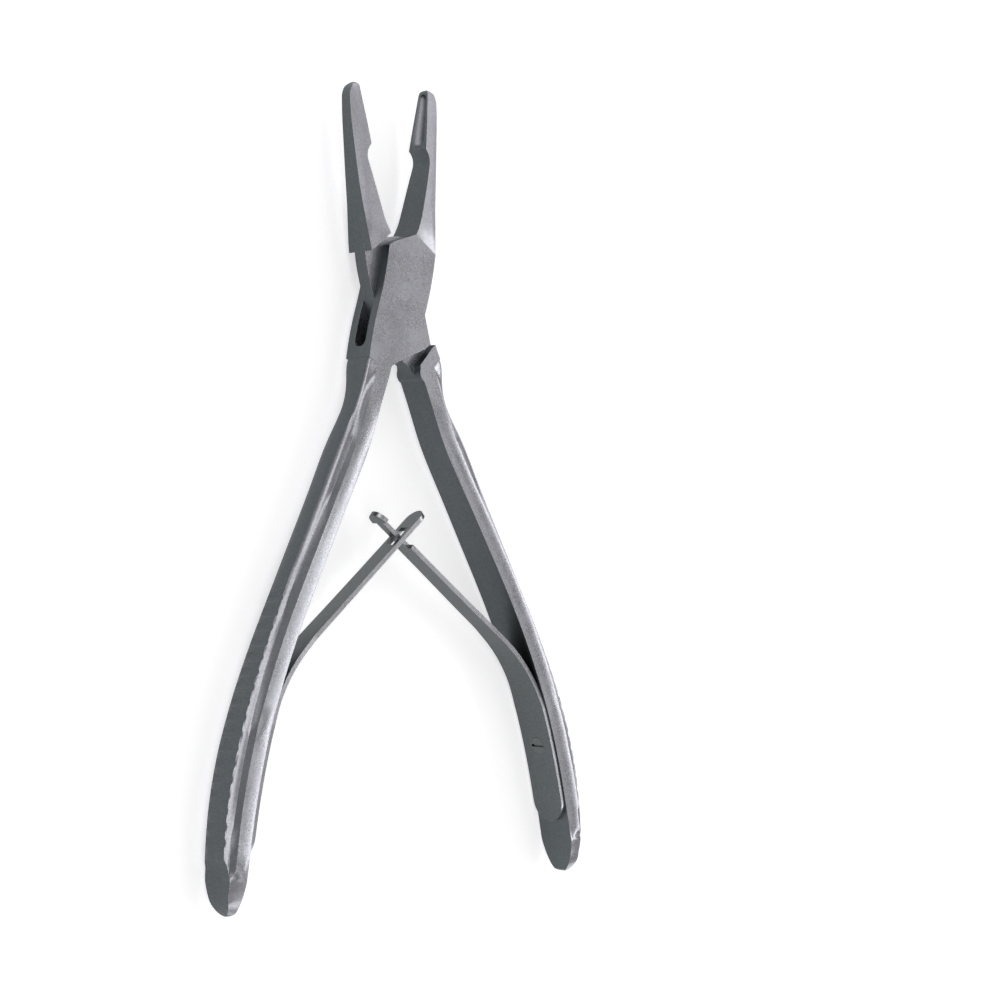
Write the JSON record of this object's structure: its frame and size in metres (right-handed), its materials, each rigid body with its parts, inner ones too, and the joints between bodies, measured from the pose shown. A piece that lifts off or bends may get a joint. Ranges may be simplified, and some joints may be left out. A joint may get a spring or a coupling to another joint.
{
  "type": "bone rongeur",
  "caption": "Straight bone rongeur with a box joint, scooped cupped jaws, serrated handles and two interlocking leaf springs, standing open.",
  "frame": {"origin": "on the pivot axis, at the back face of the box", "axes": "+Z along the pivot axis, out of the front face; +Y towards the jaws; +X to the right of the jaws, seen from the front"},
  "size_m": [0.0772, 0.1338, 0.0081],
  "materials": {
    "satin_steel": "satin blasted stainless steel",
    "pin_steel": "ground flush with the box",
    "spring_steel": "satin spring steel",
    "screw_steel": "turned, satin"
  },
  "bodies": {
    "box_side": {"box_half": "satin_steel", "pivot_pin": "pin_steel", "left_spring_screw": "screw_steel"},
    "tongue_side": {"tongue_half": "satin_steel", "right_spring_screw": "screw_steel"},
    "left_leaf": {"left_leaf_spring": "spring_steel"},
    "right_leaf": {"right_leaf_spring": "spring_steel"}
  },
  "joints": [
    {"name": "jaw_hinge", "type": "hinge", "parent": "box_side", "child": "tongue_side", "pos_m": [0, 0, 0.00305], "axis": [0, 0, -1], "range_deg": [0, 24.6], "stiffness_Nm_per_rad": 0.5},
    {"name": "left_leaf_flex", "type": "hinge", "parent": "box_side", "child": "left_leaf", "pos_m": [-0.02621, -0.064, 0.00305], "axis": [0, 0, 1], "range_deg": [0, 16.5], "deforming": ["left_leaf_spring"]},
    {"name": "right_leaf_flex", "type": "hinge", "parent": "tongue_side", "child": "right_leaf", "pos_m": [0.02621, -0.064, 0.00305], "axis": [0, 0, -1], "range_deg": [0, 16.5], "deforming": ["right_leaf_spring"]}
  ],
  "couplings": [
    {"joint": "left_leaf_flex", "follows": "jaw_hinge", "ratio": 0.661},
    {"joint": "right_leaf_flex", "follows": "jaw_hinge", "ratio": 0.661}
  ]
}
